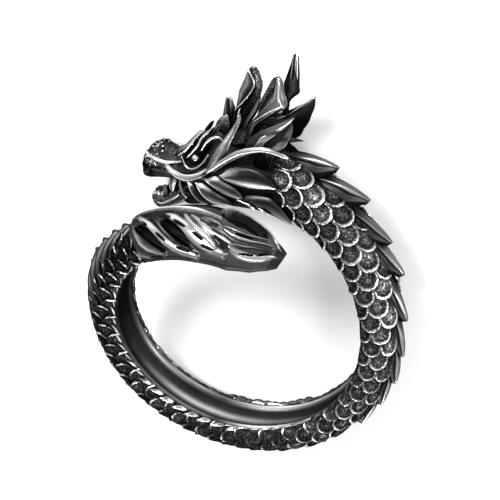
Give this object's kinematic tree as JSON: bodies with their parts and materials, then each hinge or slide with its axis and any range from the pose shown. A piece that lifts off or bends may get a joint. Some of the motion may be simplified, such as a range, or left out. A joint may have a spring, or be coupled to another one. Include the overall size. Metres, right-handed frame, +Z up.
{
  "type": "dragon ring",
  "caption": "Cast finger ring shaped as a scaled dragon coiled round the finger, with a horned head overlapping a tufted tail.",
  "frame": {"origin": "centre of the footprint box, on the table that the ring lies on", "axes": "+Z is up while the ring lies on its side; the finger hole's axis leans about 14 degrees from +Z, and the dragon's head is toward +Y with its snout toward -X"},
  "size_m": [0.0262, 0.0348, 0.0136],
  "materials": {
    "cast_metal": "antiqued cast white metal: raised edges polished bright, flats satin grey, recesses blackened"
  },
  "bodies": {
    "root": {"ring_casting": "cast_metal"}
  },
  "joints": []
}
